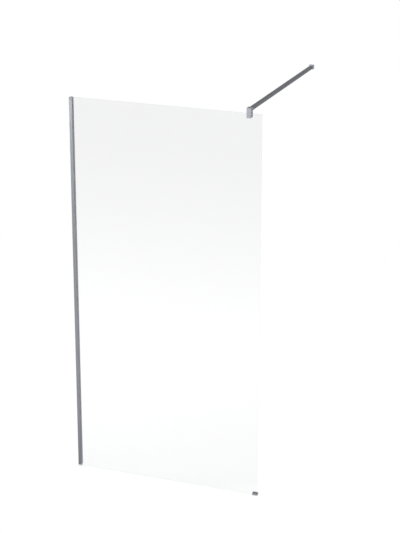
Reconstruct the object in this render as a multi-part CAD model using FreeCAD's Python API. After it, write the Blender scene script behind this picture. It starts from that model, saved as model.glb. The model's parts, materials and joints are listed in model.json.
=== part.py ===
import FreeCAD, Part
import math
import os

# Walk-in shower screen: one fixed glass panel, held at the wall by a two-part channel,
# at the floor by a low foot and at its free end by a square bar to the opposite wall.
# Frame: x = 0 is the wall plane, +X runs along the glass to its free edge,
# y = 0 is the middle of the glass, +Y points to the opposite wall, z = 0 is the floor.

Vector = FreeCAD.Vector
AXIS_X = Vector(1, 0, 0)
AXIS_Y = Vector(0, 1, 0)
AXIS_Z = Vector(0, 0, 1)
SAME_PLACE = 0.001

# Overall sizes
screen_width = 1000.0
glass_height = 2000.0
glass_thickness = 8.0
glass_arris = 0.8
wall_distance = 1000.0

# Foot under the free corner
foot_length = 27.0
foot_pad_thickness = 0.4
foot_floor = 0.8
foot_front_lip = 2.0
foot_rear_jaw = 10.4
foot_grip = 9.2
foot_liner_thickness = 0.6
foot_round = 0.8
foot_rim_round = 0.35
foot_pad_inset = 1.2
foot_liner_inset = 0.6
foot_screw_diameter = 4.0
foot_screw_key = 2.0
foot_screw_recess = 0.6

# Wall channel and the glazing channel that slides in it
channel_depth = 16.0
channel_web = 1.6
channel_front_wall = 1.4
channel_rear_wall = 2.8
channel_round = 0.6
screw_head_room = 4.4
glazing_web = 1.4
glazing_wall = 1.3
slide_clearance = 0.2
front_gasket_thickness = 3.6
rear_gasket_thickness = 2.2
gasket_inset = 2.0
gasket_lip = 0.9
packer_thickness = 1.0
packer_length = 40.0
packer_margin = 120.0
packer_count = 3

# Ends of the wall channel
cap_thickness = 1.5
cap_rim_round = 0.25
cap_peg_length = 12.0
cap_peg_clearance = 0.2
glass_notch_clearance = 0.2
plug_grip = 4.7

# Holes for the wall screws
wall_hole_diameter = 5.0
wall_hole_margin = 150.0
wall_hole_count = 4

# Set screws that lock the glazing channel
set_screw_diameter = 4.0
set_screw_key = 2.0
set_screw_edge = 4.0
set_screw_margin = 100.0
set_screw_count = 4
set_screw_recess = 0.2

# Threads are modelled as plain holes with this much room all round
thread_clearance = 0.1

# Seals, pads and plugs stop this short of the glass and of what they press on
soft_gap = 0.05

# Support bar, a square tube
bar_size = 16.0
bar_wall = 1.2
bar_round = 0.8
bar_fit = 0.1

# Clamp that joins the bar to the top edge of the glass
clamp_from_edge = 62.6
clamp_bite = 20.8
clamp_bridge = 8.9
clamp_roof = 2.5
clamp_cheek = 3.4
clamp_front_jaw = 8.8
clamp_rear_jaw = 7.1
clamp_bar_depth = 18.0
clamp_round = 1.0
clamp_rim_round = 0.45
clamp_pad_thickness = 1.2
clamp_pad_margin = 1.0
pressure_plate_thickness = 1.5
pressure_plate_clearance = 0.2
clamp_screw_diameter = 5.0
clamp_screw_key = 2.5
clamp_screw_spacing = 12.0
clamp_screw_recess = 0.6

# Grub screws that hold the bar in the clamp and the cover on the bar
bar_screw_diameter = 4.0
bar_screw_key = 2.0
bar_screw_length = 8.0
cover_screw_recess = 0.4

# Wall socket at the far end of the bar: a base with a spigot, and a cover over it
cover_side_wall = 3.35
cover_top_wall = 2.85
cover_skin = 1.5
cover_depth = 22.0
cover_front = 8.0
cover_fit = 0.15
cover_round = 1.0
cover_rim_round = 0.45
base_plate_thickness = 3.0
base_clearance = 0.3
spigot_length = 20.0
spigot_fit = 0.15
bar_end_gap = 5.0
socket_hole_diameter = 5.0
socket_counterbore_diameter = 9.0
socket_counterbore_depth = 6.0

# Places worked out from the sizes, from the floor up
glass_half = glass_thickness / 2
foot_metal_bottom = foot_pad_thickness
foot_slot_floor = foot_metal_bottom + foot_floor
glass_bottom = foot_slot_floor + foot_liner_thickness
glass_top = glass_bottom + glass_height
foot_top = glass_bottom + foot_grip
foot_slot_half = glass_half + foot_liner_thickness
foot_front_y = -foot_slot_half - foot_front_lip
foot_rear_y = foot_slot_half + foot_rear_jaw
channel_bottom = glass_bottom + plug_grip
channel_top = glass_top - cap_thickness

# Across the channel, from the glass outwards
gasket_front_y = -glass_half - front_gasket_thickness
glazing_front_y = gasket_front_y - glazing_wall
channel_inner_front_y = glazing_front_y - slide_clearance
channel_front_y = channel_inner_front_y - channel_front_wall
gasket_rear_y = glass_half + rear_gasket_thickness
glazing_rear_y = gasket_rear_y + glazing_wall
channel_inner_rear_y = glazing_rear_y + slide_clearance
channel_rear_y = channel_inner_rear_y + channel_rear_wall

# Along the glass, from the wall
glazing_x = channel_web + screw_head_room
packer_x = glazing_x + glazing_web
glass_x = packer_x + packer_thickness

# Clamp and bar
clamp_x = screen_width - clamp_from_edge
clamp_half_width = bar_size / 2 + bar_fit + clamp_cheek
clamp_bottom = glass_top - clamp_bite
clamp_slot_top = glass_top + clamp_pad_thickness
bar_hole_bottom = clamp_slot_top + clamp_bridge
bar_z = bar_hole_bottom + bar_fit + bar_size / 2
clamp_top = bar_z + bar_size / 2 + bar_fit + clamp_roof
clamp_slot_front_y = -glass_half - clamp_pad_thickness
clamp_front_y = clamp_slot_front_y - clamp_front_jaw
plate_front_y = glass_half + clamp_pad_thickness
plate_rear_y = plate_front_y + pressure_plate_thickness
clamp_slot_rear_y = plate_rear_y + pressure_plate_clearance
clamp_rear_y = clamp_slot_rear_y + clamp_rear_jaw
bar_start_y = clamp_rear_y - clamp_bar_depth

# Wall socket
base_front_y = wall_distance - base_plate_thickness
bar_end_y = base_front_y - bar_end_gap
cover_front_y = wall_distance - cover_depth
cover_half_width = bar_size / 2 + cover_fit + cover_side_wall
cover_half_height = bar_size / 2 + cover_fit + cover_top_wall
spigot_half = bar_size / 2 - bar_wall - spigot_fit


def box(x0, x1, y0, y1, z0, z1):
    return Part.makeBox(x1 - x0, y1 - y0, z1 - z0, Vector(x0, y0, z0))


def rod(start, direction, diameter, length):
    return Part.makeCylinder(diameter / 2, length, start, direction)


def along(shape, direction):
    # The straight edges of a shape that run along one direction.
    found = []
    for edge in shape.Edges:
        if isinstance(edge.Curve, Part.Line) and abs(edge.Curve.Direction.dot(direction)) > 0.999:
            found.append(edge)
    return found


def rim(shape, outward):
    # The edges round the end of a shape that points one way.
    def reach(vertex):
        return vertex.Point.dot(outward)
    end = max(reach(v) for v in shape.Vertexes)
    return [e for e in shape.Edges if min(reach(v) for v in e.Vertexes) > end - SAME_PLACE]


def eased(block, ends, corner_round, rim_round):
    # Rounds the edges that run to the given ends, then the rims there by a smaller radius.
    block = block.makeFillet(corner_round, along(block, ends[0]))
    rims = [edge for end in ends for edge in rim(block, end)]
    return block.makeFillet(rim_round, rims)


def spread(first, last, count):
    return [first + (last - first) * i / (count - 1) for i in range(count)]


def hex_prism(centre, direction, across_flats, depth):
    # A hexagon with its axis through the centre point, for the key of a screw.
    corner_radius = across_flats / math.sqrt(3)
    side = AXIS_Z.cross(direction)
    if side.Length < 0.5:
        side = AXIS_X
    up = direction.cross(side)
    corners = []
    for i in range(7):
        angle = math.radians(60 * i)
        spoke = side * math.cos(angle) + up * math.sin(angle)
        corners.append(centre + spoke * corner_radius)
    return Part.Face(Part.makePolygon(corners)).extrude(direction * depth)


def grub_screw(tip, direction, diameter, length, key):
    # A headless screw from its tip outwards, with a chamfered tip and a hexagon key hole.
    tip_chamfer = diameter / 8
    body = rod(tip, direction, diameter, length)
    rims = [e for e in body.Edges if isinstance(e.Curve, Part.Circle)]
    body = body.makeChamfer(tip_chamfer, [min(rims, key=lambda e: (e.Curve.Center - tip).Length)])
    key_depth = min(key, length / 2)
    return body.cut(hex_prism(tip + direction * length, direction * -1, key, key_depth))


def threaded_hole(tip, direction, diameter, length):
    return rod(tip, direction, diameter + 2 * thread_clearance, length)


def lock_positions():
    heights = spread(channel_bottom + set_screw_margin, channel_top - set_screw_margin, set_screw_count)
    return [Vector(channel_depth - set_screw_edge, glazing_rear_y, z) for z in heights]


def clamp_screw_positions():
    mid_z = (clamp_bottom + glass_top) / 2
    return [Vector(clamp_x + side * clamp_screw_spacing / 2, plate_rear_y, mid_z) for side in (-1, 1)]


def bar_screw_position():
    return Vector(clamp_x, (clamp_slot_rear_y + clamp_rear_y) / 2, bar_z - bar_size / 2)


def cover_screw_position():
    return Vector(clamp_x, cover_front_y + cover_front / 2, bar_z - bar_size / 2)


def foot_screw_position():
    return Vector(screen_width - foot_length / 2, foot_slot_half, (glass_bottom + foot_top) / 2)


def make_wall_channel():
    outside = box(0, channel_depth, channel_front_y, channel_rear_y, channel_bottom, channel_top)
    corners = [e for e in along(outside, AXIS_Z) if e.Vertexes[0].X > channel_depth / 2]
    outside = outside.makeFillet(channel_round, corners)
    inside = box(channel_web, channel_depth + 1, channel_inner_front_y, channel_inner_rear_y,
                 channel_bottom - 1, channel_top + 1)
    channel = outside.cut(inside)
    for z in spread(channel_bottom + wall_hole_margin, channel_top - wall_hole_margin, wall_hole_count):
        channel = channel.cut(rod(Vector(-1, 0, z), AXIS_X, wall_hole_diameter, channel_web + 2))
    for tip in lock_positions():
        channel = channel.cut(threaded_hole(tip, AXIS_Y, set_screw_diameter, channel_rear_wall + 1))
    return channel


def make_glazing_channel():
    outside = box(glazing_x, channel_depth, glazing_front_y, glazing_rear_y, channel_bottom, channel_top)
    inside = box(glazing_x + glazing_web, channel_depth + 1, gasket_front_y, gasket_rear_y,
                 channel_bottom - 1, channel_top + 1)
    return outside.cut(inside)


def make_gasket(wall_y, glass_y):
    # A strip between the glazing channel and the glass, with its lip bevelled away from the glass.
    inner_x = packer_x + gasket_inset
    lip_y = glass_y + math.copysign(gasket_lip, wall_y - glass_y)
    outline = [Vector(inner_x, wall_y, channel_bottom),
               Vector(channel_depth, wall_y, channel_bottom),
               Vector(channel_depth, lip_y, channel_bottom),
               Vector(channel_depth - gasket_lip, glass_y, channel_bottom),
               Vector(inner_x, glass_y, channel_bottom),
               Vector(inner_x, wall_y, channel_bottom)]
    return Part.Face(Part.makePolygon(outline)).extrude(AXIS_Z * (channel_top - channel_bottom))


def make_packers():
    # Spacers between the edge of the glass and the bottom of the glazing channel.
    flat_half = glass_half - glass_arris
    packers = []
    for z in spread(channel_bottom + packer_margin, channel_top - packer_margin, packer_count):
        packers.append(box(packer_x + soft_gap, glass_x - soft_gap, -flat_half, flat_half,
                           z - packer_length / 2, z + packer_length / 2))
    return Part.makeCompound(packers)


def channel_peg(z0, z1):
    # A tongue that fills the room behind the glazing channel.
    return box(channel_web + cap_peg_clearance, glazing_x - cap_peg_clearance,
               channel_inner_front_y + cap_peg_clearance, channel_inner_rear_y - cap_peg_clearance, z0, z1)


def glass_notch(z0, z1):
    half = glass_half + glass_notch_clearance
    return box(glass_x - glass_notch_clearance, channel_depth + 1, -half, half, z0, z1)


def make_top_cap():
    plate = box(0, channel_depth, channel_front_y, channel_rear_y, channel_top, glass_top)
    corners = [e for e in along(plate, AXIS_Z) if e.Vertexes[0].X > channel_depth / 2]
    plate = plate.makeFillet(channel_round, corners)
    away_from_wall = [e for e in rim(plate, AXIS_Z) if e.BoundBox.XMax > SAME_PLACE]
    plate = plate.makeFillet(cap_rim_round, away_from_wall)
    cap = plate.fuse(channel_peg(channel_top - cap_peg_length, channel_top))
    return cap.cut(glass_notch(channel_top - 1, glass_top + 1)).removeSplitter()


def make_bottom_plug():
    block = box(0, channel_depth, channel_front_y, channel_rear_y, 0, channel_bottom - soft_gap)
    corners = [e for e in along(block, AXIS_Z) if e.Vertexes[0].X > channel_depth / 2]
    block = block.makeFillet(channel_round, corners)
    plug = block.fuse(channel_peg(channel_bottom - soft_gap, channel_bottom + cap_peg_length))
    return plug.cut(glass_notch(glass_bottom - soft_gap, channel_bottom + 1)).removeSplitter()


def make_set_screws():
    length = channel_rear_y - set_screw_recess - glazing_rear_y
    screws = []
    for tip in lock_positions():
        screws.append(grub_screw(tip, AXIS_Y, set_screw_diameter, length, set_screw_key))
    return Part.makeCompound(screws)


def make_glass():
    pane = box(glass_x, screen_width, -glass_half, glass_half, glass_bottom, glass_top)
    return pane.makeChamfer(glass_arris, pane.Edges)


def make_clamp_body():
    block = box(clamp_x - clamp_half_width, clamp_x + clamp_half_width,
                clamp_front_y, clamp_rear_y, clamp_bottom, clamp_top)
    block = eased(block, [AXIS_Z, AXIS_Z * -1], clamp_round, clamp_rim_round)
    wide = clamp_half_width + 1
    slot = box(clamp_x - wide, clamp_x + wide, clamp_slot_front_y, clamp_slot_rear_y,
               clamp_bottom - 1, clamp_slot_top)
    half = bar_size / 2 + bar_fit
    bar_hole = box(clamp_x - half, clamp_x + half, bar_start_y, clamp_rear_y + 1, bar_z - half, bar_z + half)
    block = block.cut(slot).cut(bar_hole)
    for tip in clamp_screw_positions():
        block = block.cut(threaded_hole(tip, AXIS_Y, clamp_screw_diameter, clamp_rear_y - plate_rear_y + 1))
    tip = bar_screw_position()
    return block.cut(threaded_hole(tip, AXIS_Z * -1, bar_screw_diameter, tip.z - clamp_bottom + 1))


def clamp_face_box(y0, y1):
    # A flat piece that lies on the face of the glass inside the clamp.
    half = clamp_half_width - clamp_pad_margin
    return box(clamp_x - half, clamp_x + half, y0, y1,
               clamp_bottom + clamp_pad_margin, glass_top - glass_arris)


def make_clamp_top_pad():
    half = clamp_half_width - clamp_pad_margin
    flat_half = glass_half - glass_arris
    return box(clamp_x - half, clamp_x + half, -flat_half, flat_half,
               glass_top + soft_gap, clamp_slot_top - soft_gap)


def make_clamp_screws():
    length = clamp_rear_y - clamp_screw_recess - plate_rear_y
    screws = []
    for tip in clamp_screw_positions():
        screws.append(grub_screw(tip, AXIS_Y, clamp_screw_diameter, length, clamp_screw_key))
    return Part.makeCompound(screws)


def make_bar_screw():
    return grub_screw(bar_screw_position(), AXIS_Z * -1, bar_screw_diameter, bar_screw_length, bar_screw_key)


def make_bar():
    half = bar_size / 2
    inner = half - bar_wall
    outside = box(clamp_x - half, clamp_x + half, bar_start_y, bar_end_y, bar_z - half, bar_z + half)
    outside = outside.makeFillet(bar_round, along(outside, AXIS_Y))
    inside = box(clamp_x - inner, clamp_x + inner, bar_start_y - 1, bar_end_y + 1,
                 bar_z - inner, bar_z + inner)
    return outside.cut(inside)


def make_socket_base():
    half_width = cover_half_width - cover_skin - base_clearance
    half_height = cover_half_height - cover_skin - base_clearance
    plate = box(clamp_x - half_width, clamp_x + half_width, base_front_y, wall_distance,
                bar_z - half_height, bar_z + half_height)
    spigot_front_y = base_front_y - spigot_length
    spigot = box(clamp_x - spigot_half, clamp_x + spigot_half, spigot_front_y, base_front_y,
                 bar_z - spigot_half, bar_z + spigot_half)
    start = Vector(clamp_x, spigot_front_y, bar_z)
    hole = rod(start, AXIS_Y, socket_hole_diameter, wall_distance - spigot_front_y + 1)
    counterbore = rod(start, AXIS_Y, socket_counterbore_diameter, socket_counterbore_depth)
    return plate.fuse(spigot).cut(hole).cut(counterbore).removeSplitter()


def make_socket_cover():
    outside = box(clamp_x - cover_half_width, clamp_x + cover_half_width, cover_front_y, wall_distance,
                  bar_z - cover_half_height, bar_z + cover_half_height)
    outside = eased(outside, [AXIS_Y * -1], cover_round, cover_rim_round)
    half = bar_size / 2 + cover_fit
    bar_hole = box(clamp_x - half, clamp_x + half, cover_front_y - 1, wall_distance,
                   bar_z - half, bar_z + half)
    hollow_half_width = cover_half_width - cover_skin
    hollow_half_height = cover_half_height - cover_skin
    hollow = box(clamp_x - hollow_half_width, clamp_x + hollow_half_width, cover_front_y + cover_front,
                 wall_distance + 1, bar_z - hollow_half_height, bar_z + hollow_half_height)
    screw_hole = threaded_hole(cover_screw_position(), AXIS_Z * -1, bar_screw_diameter, cover_half_height)
    return outside.cut(bar_hole).cut(hollow).cut(screw_hole)


def make_cover_screw():
    length = cover_half_height - bar_size / 2 - cover_screw_recess
    return grub_screw(cover_screw_position(), AXIS_Z * -1, bar_screw_diameter, length, bar_screw_key)


def make_foot_block():
    block = box(screen_width - foot_length, screen_width, foot_front_y, foot_rear_y,
                foot_metal_bottom, foot_top)
    block = eased(block, [AXIS_Z], foot_round, foot_rim_round)
    slot = box(screen_width - foot_length - 1, screen_width + 1, -foot_slot_half, foot_slot_half,
               foot_slot_floor, foot_top + 1)
    screw_hole = threaded_hole(foot_screw_position(), AXIS_Y, foot_screw_diameter, foot_rear_jaw + 1)
    return block.cut(slot).cut(screw_hole)


def make_foot_liner():
    x0 = screen_width - foot_length + foot_liner_inset
    x1 = screen_width - foot_liner_inset
    outside = box(x0, x1, -foot_slot_half, foot_slot_half, foot_slot_floor, foot_top - foot_liner_inset)
    half = glass_half + soft_gap
    return outside.cut(box(x0 - 1, x1 + 1, -half, half, glass_bottom - soft_gap, foot_top + 1))


def make_foot_screw():
    length = foot_rear_jaw - foot_screw_recess
    return grub_screw(foot_screw_position(), AXIS_Y, foot_screw_diameter, length, foot_screw_key)


def make_foot_pad():
    return box(screen_width - foot_length + foot_pad_inset, screen_width - foot_pad_inset,
               foot_front_y + foot_pad_inset, foot_rear_y - foot_pad_inset, 0, foot_pad_thickness)


nodes = {
    "wall_channel": make_wall_channel(),
    "glazing_channel": make_glazing_channel(),
    "front_gasket": make_gasket(gasket_front_y, -glass_half - soft_gap),
    "rear_gasket": make_gasket(gasket_rear_y, glass_half + soft_gap),
    "glass_edge_packers": make_packers(),
    "channel_top_cap": make_top_cap(),
    "channel_bottom_plug": make_bottom_plug(),
    "channel_set_screws": make_set_screws(),
    "glass_panel": make_glass(),
    "clamp_body": make_clamp_body(),
    "clamp_front_pad": clamp_face_box(clamp_slot_front_y + soft_gap, -glass_half - soft_gap),
    "clamp_rear_pad": clamp_face_box(glass_half + soft_gap, plate_front_y - soft_gap),
    "clamp_top_pad": make_clamp_top_pad(),
    "clamp_pressure_plate": clamp_face_box(plate_front_y, plate_rear_y),
    "clamp_grub_screws": make_clamp_screws(),
    "bar_grub_screw": make_bar_screw(),
    "support_bar": make_bar(),
    "socket_base": make_socket_base(),
    "socket_cover": make_socket_cover(),
    "cover_grub_screw": make_cover_screw(),
    "foot_block": make_foot_block(),
    "foot_liner": make_foot_liner(),
    "foot_grub_screw": make_foot_screw(),
    "foot_adhesive_pad": make_foot_pad(),
}

os.makedirs("parts", exist_ok=True)
for name, shape in nodes.items():
    shape.exportStep(f"parts/{name}.step")
    state = "valid" if shape.isValid() else "not valid"
    print(name, len(shape.Solids), "solids", round(shape.Volume, 1), "mm3", state)
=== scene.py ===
import json
import math

import bpy
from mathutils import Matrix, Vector

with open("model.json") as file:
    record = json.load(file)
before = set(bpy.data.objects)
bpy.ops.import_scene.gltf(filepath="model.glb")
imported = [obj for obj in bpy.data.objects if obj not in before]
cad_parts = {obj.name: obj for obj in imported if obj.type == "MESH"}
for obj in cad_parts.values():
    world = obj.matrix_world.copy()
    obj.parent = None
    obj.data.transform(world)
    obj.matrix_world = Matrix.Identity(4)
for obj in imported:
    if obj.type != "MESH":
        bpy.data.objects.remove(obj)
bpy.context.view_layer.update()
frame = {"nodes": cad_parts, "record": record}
nodes = frame["nodes"]
slotOf = {part["node"]: part["material_slot"] for part in frame["record"]["subparts"]}
print("frame loaded:", len(nodes), "nodes")

scene = bpy.context.scene
scene.view_settings.view_transform = "Standard"


# small helpers for node trees
def emptyTree(owner):
    owner.use_nodes = True
    owner.node_tree.nodes.clear()
    return owner.node_tree


def put(tree, kind, values=None, **settings):
    node = tree.nodes.new(kind)
    for name, value in settings.items():
        setattr(node, name, value)
    for socket, value in (values or {}).items():
        node.inputs[socket].default_value = value
    return node


def join(tree, source, target):
    tree.links.new(source, target)


def grey(level, tint=(1.0, 1.0, 1.0)):
    return (level * tint[0], level * tint[1], level * tint[2], 1.0)


whole = (0.0, 1.0)


# one range of a value mapped to another
def remap(tree, value, source, target=whole, easing="LINEAR"):
    node = put(tree, "ShaderNodeMapRange", {
        "From Min": source[0], "From Max": source[1], "To Min": target[0], "To Max": target[1],
    }, interpolation_type=easing)
    join(tree, value, node.inputs["Value"])
    return node.outputs[0]


def most(tree, *values):
    last = values[0]
    for value in values[1:]:
        node = put(tree, "ShaderNodeMath", operation="MAXIMUM")
        join(tree, last, node.inputs[0])
        join(tree, value, node.inputs[1])
        last = node.outputs[0]
    return last


# the first value with a share of the second on top
def addUp(tree, first, second, share):
    node = put(tree, "ShaderNodeMath", {1: share}, operation="MULTIPLY_ADD")
    join(tree, second, node.inputs[0])
    join(tree, first, node.inputs[2])
    return node.outputs[0]


mixSockets = {"FLOAT": (2, 3, 0), "RGBA": (6, 7, 2)}  # the two inputs and the result of a Mix node


# two values or colours, each a socket or a constant
def mixOf(tree, kind, factor, first, second):
    mix = put(tree, "ShaderNodeMix", data_type=kind)
    firstAt, secondAt, resultAt = mixSockets[kind]
    join(tree, factor, mix.inputs[0])
    for at, source in ((firstAt, first), (secondAt, second)):
        if isinstance(source, bpy.types.NodeSocket):
            join(tree, source, mix.inputs[at])
        else:
            mix.inputs[at].default_value = source
    return mix.outputs[resultAt]


def mixShaders(tree, factor, first, second):
    mix = put(tree, "ShaderNodeMixShader")
    join(tree, factor, mix.inputs[0])
    join(tree, first.outputs[0], mix.inputs[1])
    join(tree, second.outputs[0], mix.inputs[2])
    return mix


def newGroup(name, inputs, outputs):
    group = bpy.data.node_groups.new(name, "ShaderNodeTree")
    for way, sockets in (("INPUT", inputs), ("OUTPUT", outputs)):
        for label, kind in sockets.items():
            group.interface.new_socket(name=label, in_out=way, socket_type="NodeSocket" + kind)
    return group, group.nodes.new("NodeGroupInput"), group.nodes.new("NodeGroupOutput")


def useGroup(tree, group, values, where=None):
    node = tree.nodes.new("ShaderNodeGroup")
    node.node_tree = group
    for socket, value in values.items():
        node.inputs[socket].default_value = value
    if where is not None:
        join(tree, where, node.inputs["Vector"])
    return node


# long fine lines left by a drawing or extruding die
dieLook = {"Scale": 1.0, "Detail": 5.0, "Roughness": 0.62}


def makeDieLines(look):
    group, fed, given = newGroup("dieLines", {"Vector": "Vector", "Stretch": "Vector"}, {"Lines": "Float"})
    scaled = put(group, "ShaderNodeVectorMath", operation="MULTIPLY")
    noise = put(group, "ShaderNodeTexNoise", look)
    join(group, fed.outputs["Vector"], scaled.inputs[0])
    join(group, fed.outputs["Stretch"], scaled.inputs[1])
    join(group, scaled.outputs[0], noise.inputs["Vector"])
    join(group, noise.outputs[0], given.inputs["Lines"])
    return group


# soft patches where hands and cloths have dulled a finish
wipeLook = {"noise": {"Detail": 3.0, "Roughness": 0.55, "Distortion": 0.8}, "patch": (0.38, 0.66)}


def makeWipeMarks(look):
    group, fed, given = newGroup(
        "wipeMarks", {"Vector": "Vector", "Scale": "Float", "Low": "Float", "High": "Float"},
        {"Level": "Float", "Mask": "Float"})
    broad = put(group, "ShaderNodeTexNoise", look["noise"])
    level = put(group, "ShaderNodeMapRange")
    join(group, fed.outputs["Vector"], broad.inputs["Vector"])
    join(group, fed.outputs["Scale"], broad.inputs["Scale"])
    mask = remap(group, broad.outputs[0], look["patch"], easing="SMOOTHSTEP")
    join(group, mask, level.inputs["Value"])
    join(group, fed.outputs["Low"], level.inputs["To Min"])
    join(group, fed.outputs["High"], level.inputs["To Max"])
    join(group, level.outputs[0], given.inputs["Level"])
    join(group, mask, given.inputs["Mask"])
    return group


# hairline scratches in three directions
hairLook = {
    "turns": ((0.3, 0.9, 0.2), (1.1, 0.4, 1.9), (2.0, 1.5, 0.8)), "stretch": (1.0, 28.0, 28.0),
    "noise": {"Detail": 2.0, "Roughness": 0.5}, "thin": (0.66, 0.74),
}


def makeHairlines(look):
    group, fed, given = newGroup("hairlines", {"Vector": "Vector", "Scale": "Float"}, {"Mask": "Float"})
    masks = []
    for turn in look["turns"]:
        turned = put(group, "ShaderNodeVectorRotate", {"Rotation": turn}, rotation_type="EULER_XYZ")
        scaled = put(group, "ShaderNodeVectorMath", {1: look["stretch"]}, operation="MULTIPLY")
        noise = put(group, "ShaderNodeTexNoise", look["noise"])
        join(group, fed.outputs["Vector"], turned.inputs["Vector"])
        join(group, turned.outputs[0], scaled.inputs[0])
        join(group, scaled.outputs[0], noise.inputs["Vector"])
        join(group, fed.outputs["Scale"], noise.inputs["Scale"])
        masks.append(remap(group, noise.outputs[0], look["thin"], easing="SMOOTHSTEP"))
    join(group, most(group, *masks), given.inputs["Mask"])
    return group


# rounds the look of a sharp edge and says where it is
easedLook = {"samples": 6, "turn": (0.995, 0.80)}  # cosines at which an edge starts and is full


def makeEasedEdge(look):
    group, fed, given = newGroup("easedEdge", {"Radius": "Float"}, {"Normal": "Vector", "Edge": "Float"})
    bevel = put(group, "ShaderNodeBevel", samples=look["samples"])
    flat = put(group, "ShaderNodeNewGeometry")
    dot = put(group, "ShaderNodeVectorMath", operation="DOT_PRODUCT")
    join(group, fed.outputs["Radius"], bevel.inputs["Radius"])
    join(group, bevel.outputs[0], dot.inputs[0])
    join(group, flat.outputs["Normal"], dot.inputs[1])
    join(group, bevel.outputs[0], given.inputs["Normal"])
    join(group, remap(group, dot.outputs["Value"], look["turn"]), given.inputs["Edge"])
    return group


# fine grain of moulded and cast surfaces
grainLook = {"Detail": 4.0, "Roughness": 0.7}


def makeFineGrain(look):
    group, fed, given = newGroup("fineGrain", {"Vector": "Vector", "Scale": "Float"}, {"Grain": "Float"})
    noise = put(group, "ShaderNodeTexNoise", look)
    join(group, fed.outputs["Vector"], noise.inputs["Vector"])
    join(group, fed.outputs["Scale"], noise.inputs["Scale"])
    join(group, noise.outputs[0], given.inputs["Grain"])
    return group


dieLines = makeDieLines(dieLook)
wipeMarks = makeWipeMarks(wipeLook)
hairlines = makeHairlines(hairLook)
easedEdge = makeEasedEdge(easedLook)
fineGrain = makeFineGrain(grainLook)
print("shared effects made:", len(bpy.data.node_groups))


def newMaterial(name, values):
    material = bpy.data.materials.new(name)
    tree = emptyTree(material)
    out = put(tree, "ShaderNodeOutputMaterial")
    shader = put(tree, "ShaderNodeBsdfPrincipled", values)
    join(tree, shader.outputs[0], out.inputs["Surface"])
    place = put(tree, "ShaderNodeTexCoord")
    return material, tree, shader, place.outputs["Object"]


def addMarks(tree, where, scale, levels):
    return useGroup(tree, wipeMarks, {"Scale": scale, "Low": levels[0], "High": levels[1]}, where)


# bright metals: die lines, wipe marks, hairlines, eased edges that are rubbed and carry a painted highlight
metalRelief = {"depth": 0.00005, "scratches": -0.4}  # metres, and depth beside the lines'
dulledShare = 0.94  # of the level, where a finish is dulled

channelFinish = {  # polished extrusion, lines run up the channel
    "level": 0.27, "rim": 0.85, "tint": (0.955, 0.985, 1.085), "rough": (0.33, 0.39), "markScale": 9.0,
    "stretch": (1500.0, 1500.0, 2.5), "lineRough": 0.05, "scratchScale": 34.0, "scratchRough": 0.06,
    "edgeRough": -0.06, "edgeRadius": 0.0005, "edgeShine": 1.3, "bump": 0.14,
}
fittingFinish = {  # plated clamp, cover, foot and cap, satin lines run upwards
    "level": 0.45, "rim": 0.92, "tint": (0.955, 0.985, 1.085), "rough": (0.27, 0.31), "markScale": 42.0,
    "stretch": (2600.0, 2600.0, 45.0), "lineRough": 0.04, "scratchScale": 90.0, "scratchRough": 0.05,
    "edgeRough": -0.05, "edgeRadius": 0.0008, "edgeShine": 1.3, "bump": 0.07,
}
coverFinish = dict(fittingFinish, level=0.62, rough=(0.42, 0.46))  # the cover at the wall is a little softer, and a lighter copy of the plating: painted light
# the bar's level is set lower than the fittings', so the bar is darker
barFinish = {  # plated drawn tube, lines run along the bar
    "level": 0.25, "rim": 0.88, "tint": (0.939, 0.98, 1.111), "rough": (0.21, 0.28), "markScale": 16.0,
    "stretch": (1900.0, 3.0, 1900.0), "lineRough": 0.05, "scratchScale": 60.0, "scratchRough": 0.06,
    "edgeRough": -0.05, "edgeRadius": 0.0007, "edgeShine": 1.3, "bump": 0.14,
}
screwFinish = {  # turned stainless steel
    "level": 0.50, "rim": 0.8, "tint": (1.0, 0.985, 0.96), "rough": (0.24, 0.34), "markScale": 120.0,
    "stretch": (2600.0, 2600.0, 2600.0), "lineRough": 0.08, "scratchScale": 240.0, "scratchRough": 0.10,
    "edgeRough": 0.05, "edgeRadius": 0.0002, "edgeShine": 1.2, "bump": 0.12,
}


def makeBrightMetal(name, look):
    material, tree, shader, where = newMaterial(name, {"Metallic": 1.0, "Specular Tint": grey(look["rim"])})
    marks = addMarks(tree, where, look["markScale"], look["rough"])
    lines = useGroup(tree, dieLines, {"Stretch": look["stretch"]}, where)
    scratch = useGroup(tree, hairlines, {"Scale": look["scratchScale"]}, where)
    edge = useGroup(tree, easedEdge, {"Radius": look["edgeRadius"]})

    rough = addUp(tree, marks.outputs["Level"], scratch.outputs["Mask"], look["scratchRough"])
    rough = addUp(tree, rough, edge.outputs["Edge"], look["edgeRough"])
    rough = addUp(tree, rough, lines.outputs["Lines"], look["lineRough"])

    # edges are lighter in colour: rubbed wear and a painted edge highlight
    shares = (1.0, dulledShare, look["edgeShine"])
    clean, dulled, wornEdgeSheen = (grey(look["level"] * share, look["tint"]) for share in shares)
    colour = mixOf(tree, "RGBA", marks.outputs["Mask"], clean, dulled)
    colour = mixOf(tree, "RGBA", edge.outputs["Edge"], colour, wornEdgeSheen)

    height = addUp(tree, lines.outputs["Lines"], scratch.outputs["Mask"], metalRelief["scratches"])
    bump = put(tree, "ShaderNodeBump", {"Strength": look["bump"], "Distance": metalRelief["depth"]})
    join(tree, height, bump.inputs["Height"])
    join(tree, edge.outputs["Normal"], bump.inputs["Normal"])
    join(tree, colour, shader.inputs["Base Color"])
    join(tree, rough, shader.inputs["Roughness"])
    join(tree, bump.outputs[0], shader.inputs["Normal"])
    return material


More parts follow.
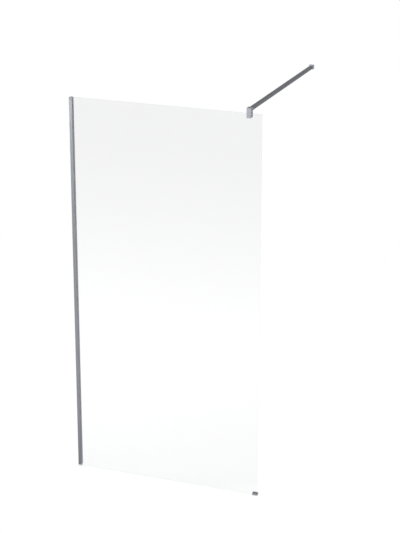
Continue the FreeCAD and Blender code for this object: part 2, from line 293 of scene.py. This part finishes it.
# clear flat glass: light goes straight through, both faces mirror a little, cloth marks dull that
# here and there, and the polished edges carry the green of the sheet
glassLook = {
    "face": (0.975, 0.977, 0.978, 1.0), "edge": (0.86, 0.95, 0.915, 1.0), "lampTint": (0.93, 0.95, 0.94, 1.0),
    "bend": 1.0, "mirrorIor": 1.52, "mirrorRough": 0.004, "mirror": (1.0, 0.95), "markScale": 5.0,
    "edgeTurn": (0.85, 0.35),  # share of the normal along Y where the edge's colour starts and is full
}


def makeGlass(name, look):
    material, tree, shader, where = newMaterial(name, {
        "Transmission Weight": 1.0, "Metallic": 0.0, "Roughness": 0.0, "IOR": look["bend"],
        "Coat IOR": look["mirrorIor"], "Coat Roughness": look["mirrorRough"]})
    marks = addMarks(tree, where, look["markScale"], look["mirror"])
    join(tree, marks.outputs["Level"], shader.inputs["Coat Weight"])

    facing = put(tree, "ShaderNodeTexCoord")
    axes = put(tree, "ShaderNodeSeparateXYZ")
    across = put(tree, "ShaderNodeMath", operation="ABSOLUTE")
    join(tree, facing.outputs["Normal"], axes.inputs[0])
    join(tree, axes.outputs["Y"], across.inputs[0])
    edge = remap(tree, across.outputs[0], look["edgeTurn"])
    join(tree, mixOf(tree, "RGBA", edge, look["face"], look["edge"]), shader.inputs["Base Color"])

    path = put(tree, "ShaderNodeLightPath")
    forLamps = put(tree, "ShaderNodeBsdfTransparent", {"Color": look["lampTint"]})
    lit = mixShaders(tree, path.outputs["Is Shadow Ray"], shader, forLamps)
    out = next(node for node in tree.nodes if node.type == "OUTPUT_MATERIAL")
    join(tree, lit.outputs[0], out.inputs["Surface"])
    return material


# moulded plastics, rubber and foam: fine grain in colour, gloss and relief
mouldedRelief = {"depth": 0.0001, "grainRough": 0.10}

sealLook = {
    "dark": (0.35, 0.356, 0.374, 1.0), "light": (0.43, 0.437, 0.459, 1.0), "rough": (0.42, 0.55),
    "grainScale": 1800.0, "markScale": 20.0, "bump": 0.25, "shader": {"Specular IOR Level": 0.35},
}
linerShadeLook = dict(  # a far darker copy of the seal rubber for the liner in the foot: painted shade of its slot
    sealLook, dark=(0.055, 0.056, 0.059, 1.0), light=(0.085, 0.087, 0.091, 1.0))
padLook = {
    "dark": (0.86, 0.88, 0.88, 1.0), "light": (0.95, 0.96, 0.96, 1.0), "rough": (0.25, 0.36),
    "grainScale": 1400.0, "markScale": 50.0, "bump": 0.05,
    "shader": {"Transmission Weight": 0.55, "IOR": 1.46},
}
foamLook = {
    "dark": (0.50, 0.50, 0.50, 1.0), "light": (0.70, 0.70, 0.69, 1.0), "rough": (0.75, 0.85),
    "grainScale": 3200.0, "markScale": 60.0, "bump": 0.6, "shader": {"Specular IOR Level": 0.2},
}


def makeMoulded(name, look):
    material, tree, shader, where = newMaterial(name, look["shader"])
    marks = addMarks(tree, where, look["markScale"], look["rough"])
    grain = useGroup(tree, fineGrain, {"Scale": look["grainScale"]}, where).outputs["Grain"]
    rough = addUp(tree, marks.outputs["Level"], grain, mouldedRelief["grainRough"])
    bump = put(tree, "ShaderNodeBump", {"Strength": look["bump"], "Distance": mouldedRelief["depth"]})
    join(tree, grain, bump.inputs["Height"])
    join(tree, mixOf(tree, "RGBA", grain, look["dark"], look["light"]), shader.inputs["Base Color"])
    join(tree, rough, shader.inputs["Roughness"])
    join(tree, bump.outputs[0], shader.inputs["Normal"])
    return material


finishes = {  # by material slot
    "polished_aluminium": makeBrightMetal("polishedAluminium", channelFinish),
    "chrome": makeBrightMetal("platedFitting", fittingFinish),
    "steel": makeBrightMetal("turnedSteel", screwFinish),
    "clear_glass": makeGlass("clearGlass", glassLook),
    "grey_seal": makeMoulded("greySeal", sealLook),
    "clear_plastic": makeMoulded("clearPlastic", padLook),
    "adhesive": makeMoulded("bondingFoam", foamLook),
}
ownFinish = {  # by piece, in place of its slot's
    "support_bar": makeBrightMetal("platedBar", barFinish),
    # the cover's lighter level is painted light on the same plating
    "socket_cover": makeBrightMetal("platedCover", coverFinish),
    # the liner's far darker rubber is painted shade of the foot's slot
    "foot_liner": makeMoulded("shadedLinerRubber", linerShadeLook),
}
print("finishes made:", len(finishes) + len(ownFinish))

for name, node in nodes.items():
    node.data.materials.clear()
    node.data.materials.append(ownFinish.get(name) or finishes[slotOf[name]])
print("finishes given to the pieces")


seenWays = ("Is Camera Ray", "Is Transmission Ray", "Is Glossy Ray")
mirrorDepth = 0.5  # a ray of more glossy depth comes from a surface that mirrors


# rays that bring the stage to the eye, straight or through glass and off metal
def seenRays(tree, path):
    return most(tree, *(path.outputs[way] for way in seenWays))


def mirroredRays(tree, path):
    isMirrored = put(tree, "ShaderNodeMath", {1: mirrorDepth}, operation="GREATER_THAN")
    join(tree, path.outputs["Glossy Depth"], isMirrored.inputs[0])
    return isMirrored.outputs[0]


# floor: white to the eye with a soft shadow; mirrored, it is a pool of light round the screen that fades
# far off, and is dimmer ahead of the glass towards its free corner
floorLook = {
    "half": 30.0, "pale": 0.85, "grain": 0.02, "grainScale": 90.0,
    "centre": (0.5, 0.3, 0.0), "shadowShare": 0.20, "shadowReach": (1.6, 4.0),
    "mirrored": (  # distance along Y and level
        (-30.0, 1.0), (-15.0, 0.85), (-9.0, 0.0), (-6.0, 0.0), (-4.5, 0.38), (-2.4, 1.12), (0.0, 1.10),
        (1.0, 0.95), (4.0, 0.85), (5.5, 0.64), (9.0, 0.58), (16.0, 0.10), (30.0, 0.43)),
    "cornerWay": (0.95, 1.0, 0.0), "corner": ((-0.94, 1.0), (0.72, 0.29), (1.05, 0.90)),  # distance and share
    "cornerEnd": 1.0,  # distance behind the glass at which the corner's share is whole again
}


# levels at places along a value, as shares of the highest one
def makeRamp(tree, along, levels):
    first, last = levels[0][0], levels[-1][0]
    top = max(level for _, level in levels)
    ramp = put(tree, "ShaderNodeValToRGB")
    stops = ramp.color_ramp.elements
    while len(stops) < len(levels):
        stops.new(1.0)
    for stop, (place, level) in zip(stops, levels):
        stop.position = (place - first) / (last - first)
        stop.color = grey(level / top)
    join(tree, remap(tree, along, (first, last)), ramp.inputs[0])
    return ramp.outputs[0], top


# to light that it throws back onto the object: matt, with a fine grain
def makeMattFloor(tree, place, look):
    grain = useGroup(tree, fineGrain, {"Scale": look["grainScale"]}, place)
    darker, lighter = (grey(look["pale"] + side * look["grain"]) for side in (-1, 1))
    matt = put(tree, "ShaderNodeBsdfDiffuse")
    join(tree, mixOf(tree, "RGBA", grain.outputs["Grain"], darker, lighter), matt.inputs["Color"])
    return matt


# to the eye: a share of lit floor for the shadow, the rest plain white
def makeSeenFloor(tree, place, look):
    away = put(tree, "ShaderNodeVectorMath", {1: look["centre"]}, operation="DISTANCE")
    rest = put(tree, "ShaderNodeMath", {1: -look["pale"], 2: 1.0}, operation="MULTIPLY_ADD")
    shade = put(tree, "ShaderNodeBsdfDiffuse")
    white = put(tree, "ShaderNodeEmission", {"Color": grey(1.0)})
    both = put(tree, "ShaderNodeAddShader")
    join(tree, place, away.inputs[0])
    share = remap(tree, away.outputs["Value"], look["shadowReach"], (look["shadowShare"], 0.0))
    join(tree, share, rest.inputs[0])
    join(tree, share, shade.inputs["Color"])
    join(tree, rest.outputs[0], white.inputs["Strength"])
    join(tree, shade.outputs[0], both.inputs[0])
    join(tree, white.outputs[0], both.inputs[1])
    return both


def makeMirroredFloor(tree, place, look):
    axes = put(tree, "ShaderNodeSeparateXYZ")
    slant = put(tree, "ShaderNodeVectorMath", {1: look["cornerWay"]}, operation="DOT_PRODUCT")
    pool = put(tree, "ShaderNodeEmission")
    join(tree, place, axes.inputs[0])
    join(tree, place, slant.inputs[0])
    colour, top = makeRamp(tree, axes.outputs["Y"], look["mirrored"])
    corner, _ = makeRamp(tree, slant.outputs["Value"], look["corner"])
    behind = remap(tree, axes.outputs["Y"], (0.0, look["cornerEnd"]))
    strength = put(tree, "ShaderNodeMath", {1: top}, operation="MULTIPLY")
    join(tree, mixOf(tree, "FLOAT", behind, corner, 1.0), strength.inputs[0])
    join(tree, colour, pool.inputs["Color"])
    join(tree, strength.outputs[0], pool.inputs["Strength"])
    return pool


def makeFloor(look):
    half = look["half"]
    corners = [(-half, -half, 0.0), (half, -half, 0.0), (half, half, 0.0), (-half, half, 0.0)]
    mesh = bpy.data.meshes.new("studioFloor")
    mesh.from_pydata(corners, [], [tuple(range(len(corners)))])
    floor = bpy.data.objects.new("studioFloor", mesh)
    scene.collection.objects.link(floor)

    material = bpy.data.materials.new("paleFloor")
    tree = emptyTree(material)
    out = put(tree, "ShaderNodeOutputMaterial")
    place = put(tree, "ShaderNodeTexCoord").outputs["Object"]
    path = put(tree, "ShaderNodeLightPath")
    matt, seen, pool = (make(tree, place, look) for make in (makeMattFloor, makeSeenFloor, makeMirroredFloor))
    direct = mixShaders(tree, seenRays(tree, path), matt, seen)
    shown = mixShaders(tree, mirroredRays(tree, path), direct, pool)
    join(tree, shown.outputs[0], out.inputs["Surface"])
    mesh.materials.append(material)


makeFloor(floorLook)


# world: white where it is seen, a plain soft light on the object, and a little dimmer behind the screen
# where it is mirrored
worldLook = {"seen": 1.0, "light": 0.72, "mirrored": (1.0, 0.43), "turn": (-0.35, 0.60)}


def makeWorld(look):
    world = bpy.data.worlds.new("studioWorld")
    scene.world = world
    tree = emptyTree(world)
    out = put(tree, "ShaderNodeOutputWorld")
    path = put(tree, "ShaderNodeLightPath")
    way = put(tree, "ShaderNodeTexCoord")
    axes = put(tree, "ShaderNodeSeparateXYZ")
    back = put(tree, "ShaderNodeBackground", {"Color": grey(1.0)})
    join(tree, way.outputs["Generated"], axes.inputs[0])
    level = remap(tree, seenRays(tree, path), whole, (look["light"], look["seen"]))
    fade = remap(tree, axes.outputs["Y"], look["turn"], look["mirrored"], easing="SMOOTHSTEP")
    strength = mixOf(tree, "FLOAT", mirroredRays(tree, path), level, fade)
    join(tree, strength, back.inputs["Strength"])
    join(tree, back.outputs[0], out.inputs["Surface"])


makeWorld(worldLook)


# soft boxes that fade to their rims: a long one and a fainter one ahead of the screen, tall ones
# at two sides, a square one overhead
softBoxes = {
    "frontStrip": {"at": (-3.8, -5.6, 1.35), "aim": (-3.8, 0.0, 1.35), "size": (4.6, 1.46), "power": 250.0},
    "frontFill": {"at": (-0.5, -5.6, 1.35), "aim": (-0.5, 0.0, 1.35), "size": (3.4, 1.46), "power": 32.0},
    "rightStrip": {"at": (4.6, -2.4, 1.7), "aim": (0.5, 0.1, 1.2), "size": (0.7, 4.2), "power": 62.0},
    "leftStrip": {"at": (-3.4, 2.2, 1.7), "aim": (0.5, 0.1, 1.2), "size": (0.7, 4.2), "power": 62.0},
    "topBox": {"at": (0.8, -0.8, 5.2), "aim": (0.5, 0.2, 0.0), "size": (3.6, 3.6), "power": 100.0},
}
boxMiddle = 0.5  # of a box that counts from 0 to 1 each way
boxRim = 0.3  # share of a box, from each side, over which its light fades


def makeSoftBox(name, look):
    lamp = bpy.data.lights.new(name, "AREA")
    lamp.shape = "RECTANGLE"
    lamp.size, lamp.size_y = look["size"]
    lamp.energy = look["power"]
    tree = emptyTree(lamp)
    out = put(tree, "ShaderNodeOutputLight")
    glow = put(tree, "ShaderNodeEmission", {"Color": grey(1.0)})
    place = put(tree, "ShaderNodeNewGeometry")
    middle = put(tree, "ShaderNodeVectorMath", {1: (boxMiddle, boxMiddle, 0.0)}, operation="SUBTRACT")
    away = put(tree, "ShaderNodeVectorMath", operation="ABSOLUTE")
    axes = put(tree, "ShaderNodeSeparateXYZ")
    both = put(tree, "ShaderNodeMath", operation="MULTIPLY")
    join(tree, place.outputs["Parametric"], middle.inputs[0])
    join(tree, middle.outputs[0], away.inputs[0])
    join(tree, away.outputs[0], axes.inputs[0])
    for side, axis in enumerate("XY"):
        fade = remap(tree, axes.outputs[axis], (boxMiddle, boxMiddle - boxRim), easing="SMOOTHSTEP")
        join(tree, fade, both.inputs[side])
    join(tree, both.outputs[0], glow.inputs["Strength"])
    join(tree, glow.outputs[0], out.inputs["Surface"])

    holder = bpy.data.objects.new(name, lamp)
    scene.collection.objects.link(holder)
    ahead = Vector(look["aim"]) - Vector(look["at"])
    holder.location = look["at"]
    holder.rotation_euler = ahead.to_track_quat("-Z", "Y").to_euler()
    holder.visible_camera = False
    holder.visible_transmission = False


for name, look in softBoxes.items():
    makeSoftBox(name, look)
print("stage and light set")


# camera at the photograph's angle, its lens worked out for a frame 400 by 533
cameraLook = {
    "at": (3.42242, -7.21556, 3.91181), "azimuth": 20.768, "elevation": 19.346,  # metres and degrees
    "focalPixels": 1655.05, "rows": 533, "sensor": 24.0, "reach": 100.0,
}


def makeCamera(look):
    eye = bpy.data.cameras.new("studioCamera")
    eye.sensor_fit = "VERTICAL"
    eye.sensor_height = look["sensor"]
    eye.lens = look["focalPixels"] * look["sensor"] / look["rows"]
    eye.clip_end = look["reach"]
    holder = bpy.data.objects.new("studioCamera", eye)
    scene.collection.objects.link(holder)
    holder.location = look["at"]
    levelView = math.pi / 2
    holder.rotation_euler = (levelView - math.radians(look["elevation"]), 0.0, math.radians(look["azimuth"]))
    scene.camera = holder


makeCamera(cameraLook)
print("camera set")
